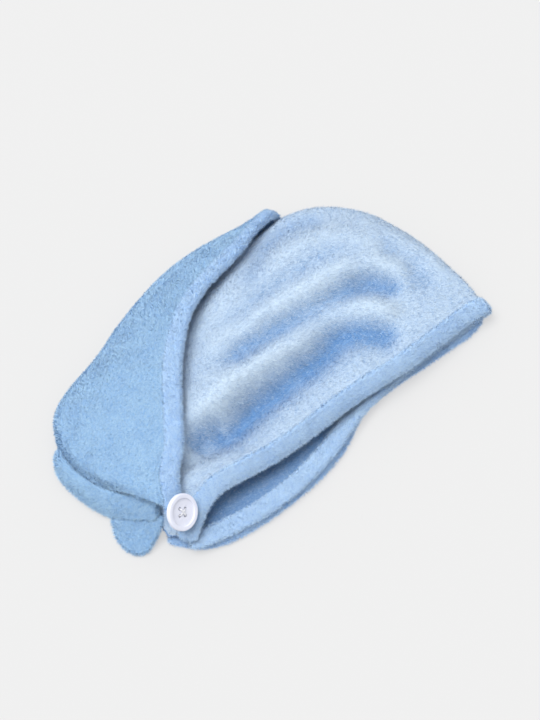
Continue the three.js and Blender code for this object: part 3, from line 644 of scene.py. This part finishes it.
def lathe(name, profile, segments):
    """A closed round solid from a profile of (radius, height), turned about Z."""
    made = bmesh.new()
    rings = []
    for radius, height in profile:
        if radius == 0:
            rings.append([made.verts.new((0, 0, height))])
        else:
            turns = [2 * math.pi * k / segments for k in range(segments)]
            ring = [(radius * math.cos(a), radius * math.sin(a), height) for a in turns]
            rings.append([made.verts.new(place) for place in ring])
    for low, high in zip(rings, rings[1:]):
        for k in range(segments):
            after = (k + 1) % segments
            corners = [low[k % len(low)], low[after % len(low)], high[after % len(high)], high[k % len(high)]]
            unique = list(dict.fromkeys(corners))
            if len(unique) > 2:
                made.faces.new(unique)
    mesh = bpy.data.meshes.new(name)
    bmesh.ops.recalc_face_normals(made, faces=made.faces)
    made.to_mesh(mesh)
    made.free()
    return mesh


def rounded(centre, radius, start, end, steps):
    """Points of an arc in the profile's plane, angles in degrees."""
    angles = [math.radians(start + (end - start) * k / steps) for k in range(steps + 1)]
    return [(centre[0] + radius * math.cos(a), centre[1] + radius * math.sin(a)) for a in angles]


def button_place():
    low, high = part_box("button")
    turn = Vector((0, 0, 1)).rotation_difference(BUTTON_FACING).to_matrix().to_4x4()
    back = (low + high) / 2 - BUTTON_FACING * (BUTTON_THICK / 2)
    return Matrix.Translation(back) @ turn @ Matrix.Rotation(BUTTON_TURN, 4, "Z")


def hole_places():
    half = HOLE_SPACING / 2
    return [(half, half), (-half, half), (-half, -half), (half, -half)]


def build_button():
    edge = 1.2 * MM
    crown = 0.9 * MM
    lip = 0.5 * MM
    dish = BUTTON_THICK - DISH_DEPTH
    inner = BUTTON_RADIUS - RIM_WIDTH
    profile = [(0, 0)]
    profile += rounded((BUTTON_RADIUS - edge, edge), edge, -90, 0, 6)
    profile += rounded((BUTTON_RADIUS - crown, BUTTON_THICK - crown), crown, 0, 90, 6)
    profile += rounded((inner + lip, BUTTON_THICK - lip), lip, 90, 180, 4)
    profile += [(inner, dish + 0.15 * MM), (inner - 0.8 * MM, dish)]
    profile += [(BUTTON_RADIUS * 0.5, dish - 0.1 * MM), (0, dish - 0.15 * MM)]
    piece = linked("button_dished", lathe("button_dished", profile, 96), button_plastic())
    cutters = []
    for x, y in hole_places():
        low, high = -2 * MM, 8 * MM
        mesh = lathe("hole", [(0, low), (HOLE_RADIUS, low), (HOLE_RADIUS, high), (0, high)], 24)
        mesh.transform(Matrix.Translation((x, y, 0)))
        cutter = linked("hole", mesh)
        cut = piece.modifiers.new("hole", "BOOLEAN")
        cut.operation = "DIFFERENCE"
        cut.solver = "EXACT"
        cut.object = cutter
        cutters.append(cutter)
    soften = piece.modifiers.new("soften", "BEVEL")
    soften.width = 0.18 * MM
    soften.segments = 2
    soften.limit_method = "ANGLE"
    soften.angle_limit = math.radians(50)
    final = bpy.data.meshes.new_from_object(piece.evaluated_get(bpy.context.evaluated_depsgraph_get()))
    piece.modifiers.clear()
    piece.data = final
    for cutter in cutters:
        bpy.data.objects.remove(cutter)
    final.transform(button_place())
    smoothed(final)
    final.set_sharp_from_angle(angle=math.radians(40))
    settled(piece, "button_plastic", "button")


def strand(points, radius, sides=8):
    """Vertices and faces of a closed tube along points."""
    rings = []
    side = None
    for i, point in enumerate(points):
        ahead = (points[min(i + 1, len(points) - 1)] - points[max(i - 1, 0)]).normalized()
        side = ahead.orthogonal() if side is None else side - ahead * side.dot(ahead)
        side.normalize()
        other = ahead.cross(side)
        angles = [2 * math.pi * k / sides for k in range(sides)]
        rings.append([point + (side * math.cos(a) + other * math.sin(a)) * radius for a in angles])
    vertices = [v for ring in rings for v in ring]
    faces = []
    for i in range(len(rings) - 1):
        for k in range(sides):
            after = (k + 1) % sides
            faces.append((i * sides + k, i * sides + after, (i + 1) * sides + after, (i + 1) * sides + k))
    faces.append(tuple(reversed(range(sides))))
    faces.append(tuple(len(vertices) - sides + k for k in range(sides)))
    return vertices, faces


def build_thread():
    """Three strands over each diagonal of the four holes, and the wound shank under the button."""
    dish = BUTTON_THICK - DISH_DEPTH
    vertices, faces = [], []

    def add(points, radius):
        more, rims = strand(points, radius)
        faces.extend(tuple(k + len(vertices) for k in rim) for rim in rims)
        vertices.extend(more)

    holes = hole_places()
    for pair, height in (((0, 2), 0.35), ((1, 3), 0.75)):
        start, end = (Vector((*holes[k], 0)) for k in pair)
        side = (end - start).cross(Vector((0, 0, 1))).normalized()
        for step in (-1, 0, 1):
            path = []
            for k in range(19):
                share = k / 18
                point = start.lerp(end, share) + side * step * 0.42 * MM * math.sin(math.pi * share) ** 0.5
                arch = min(1, math.sin(math.pi * share) * 3.2)
                point.z = dish - 2.6 * MM + (2.6 + height) * MM * arch
                path.append(point)
            add(path, 0.26 * MM)
    for turn in range(5):
        level = -0.5 - turn * 0.55
        angles = [2 * math.pi * k / 24 for k in range(25)]
        add([Vector((1.7 * math.cos(a), 1.7 * math.sin(a), level)) * MM for a in angles], 0.3 * MM)
    for x, y in holes:
        path = ((0.35, -0.8), (0.7, -0.2), (1, 0.6), (1, 2.2))
        add([Vector((x * share, y * share, level * MM)) for share, level in path], 0.45 * MM)
    mesh = bpy.data.meshes.new("button_sewing")
    mesh.from_pydata([tuple(v) for v in vertices], [], faces)
    mesh.transform(button_place())
    smoothed(mesh)
    mesh.update()
    settled(linked("button_sewing", mesh, THREAD), "white_thread", "button_thread")


def build_loop():
    piece = smooth_copy("button_loop", "elastic_loop", 2)
    piece.data.materials.append(THREAD)
    settled(piece, "white_thread", "button_loop")


# Studio

def build_floor():
    mesh = bpy.data.meshes.new("studio_floor")
    reach = 6
    corners = [(-reach, -reach, 0), (reach, -reach, 0), (reach, reach, 0), (-reach, reach, 0)]
    mesh.from_pydata(corners, [], [(0, 1, 2, 3)])
    floor = linked("studio_floor", mesh, floor_finish())
    floor.location.z = -0.2 * MM


def sun(name, right, far, above, strength, spread):
    """A broad even light from a side given as the picture's right, its far side and up."""
    turn = math.radians(-VIEW_AZIMUTH)
    towards = Vector((math.cos(turn), -math.sin(turn), 0)) * right
    towards += Vector((math.sin(turn), math.cos(turn), 0)) * far + Vector((0, 0, above))
    light = bpy.data.lights.new(name, "SUN")
    light.energy = strength
    light.angle = math.radians(spread)
    lamp = bpy.data.objects.new(name, light)
    bpy.context.scene.collection.objects.link(lamp)
    lamp.rotation_euler = towards.to_track_quat("Z", "Y").to_euler()


def build_lights():
    sun("key", -0.3, -0.05, 0.9, 3.05, 45)
    world = bpy.data.worlds.new("studio")
    world.use_nodes = True
    background = world.node_tree.nodes["Background"]
    background.inputs[0].default_value = (1, 1, 1, 1)
    background.inputs[1].default_value = 0.82
    bpy.context.scene.world = world


def build_camera():
    data = bpy.data.cameras.new("camera")
    data.lens = VIEW_LENS
    data.dof.use_dof = False
    camera = bpy.data.objects.new("camera", data)
    bpy.context.scene.collection.objects.link(camera)
    turn, rise = math.radians(VIEW_AZIMUTH), math.radians(VIEW_ELEVATION)
    back = Vector((math.sin(turn) * math.cos(rise), -math.cos(turn) * math.cos(rise), math.sin(rise)))
    camera.location = AIM + back * VIEW_DISTANCE
    camera.rotation_euler = back.to_track_quat("Z", "Y").to_euler()
    bpy.context.scene.camera = camera
    bpy.context.scene.view_settings.view_transform = "Standard"


THREAD = sewing_thread()
SOFT_NODES = ("hood", "tail", "brim_hem", "flap_hem", "front_hem", "side_hem", "tail_tip")


def tree_of(node):
    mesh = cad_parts[node].data
    faces = [tuple(face.vertices) for face in mesh.polygons]
    return BVHTree.FromPolygons([v.co for v in mesh.vertices], faces)



# Moves in millimetres, along the frame's axes
TUCKED_ENDS = {"tail_tip": tucked(14 * MM, (4.5, 5.7, 0)), "side_hem": tucked(12 * MM, (5, -3, -2))}
SOFT_TREES = {node: tree_of(node) for node in SOFT_NODES}

build_camera()
build_floor()
build_lights()

HOOD_FLEECE = (
    fleece_ground("hood_ground", HOOD_BRIGHT, HOOD_SHADED),
    fleece_pile("hood_fleece", HOOD_BRIGHT, HOOD_SHADED),
)
TAIL_FLEECE = (
    fleece_ground("tail_ground", TAIL_BRIGHT, TAIL_SHADED),
    fleece_pile("tail_fleece", TAIL_BRIGHT, TAIL_SHADED),
)
HEM_FLEECE = (
    fleece_ground("hem_ground", HEM_BRIGHT, HEM_SHADED),
    fleece_pile("hem_fleece", HEM_BRIGHT, HEM_SHADED),
)


def fleece_facts(
    tufts, weigh, comb, shape, clumps=0.4, ripple=0.35 * MM, length=PILE_LENGTH, flatness=1.2, wild=0.6
):
    """How a piece's pile and ground are made. Wild pile leans less along the comb."""
    return {
        "tufts": tufts,
        "weigh": weigh,
        "comb": comb,
        "shape": shape,
        "clumps": clumps,
        "ripple": ripple,
        "length": length,
        "flatness": flatness,
        "wild": wild,
    }


hood_facts = fleece_facts(190000, hood_weight, straight_comb(0.7, -0.7), hood_folds_and_shade)
hood = soft_piece("hood", "hood_fleece", hood_facts, *HOOD_FLEECE, 11)
tail_facts = fleece_facts(190000, tail_weight, straight_comb(0.7, -0.5), tail_painted_shade, 0.5)
tail = soft_piece("tail", "tail_fleece", tail_facts, *TAIL_FLEECE, 23)
# Each piece's level sets how far its colour sits from its painted shade towards its bright colour
HEMS = (("brim_hem", 130000, 0.82, 31), ("flap_hem", 70000, 0.7, 41), ("front_hem", 70000, 0.56, 51))
for node, tufts, level, seed in HEMS:
    looks = (plain_shape(level), 0.5, 0.3 * MM, HEM_PILE, 0.6, 0.8)
    facts = fleece_facts(tufts, all_seen, outward_comb(node), *looks)
    soft_piece(node, "hem_fleece", facts, *HEM_FLEECE, seed)
side_looks = (plain_shape(0.7), 0.6, 0.5 * MM, LONG_PILE, 0.6, 0.8)
side_facts = fleece_facts(34000, all_seen, outward_comb("side_hem"), *side_looks)
soft_piece("side_hem", "hem_fleece", side_facts, *TAIL_FLEECE, 61)
tip_looks = (plain_shape(0.7), 0.6, 0.3 * MM, LONG_PILE, 0.7, 0.8)
tip_facts = fleece_facts(16000, all_seen, straight_comb(-0.4, -0.9), *tip_looks)
tip = soft_piece("tail_tip", "tail_fleece", tip_facts, *TAIL_FLEECE, 71)

# The button, the thread that sews it on, and its elastic loop.
build_button()
build_thread()
build_loop()
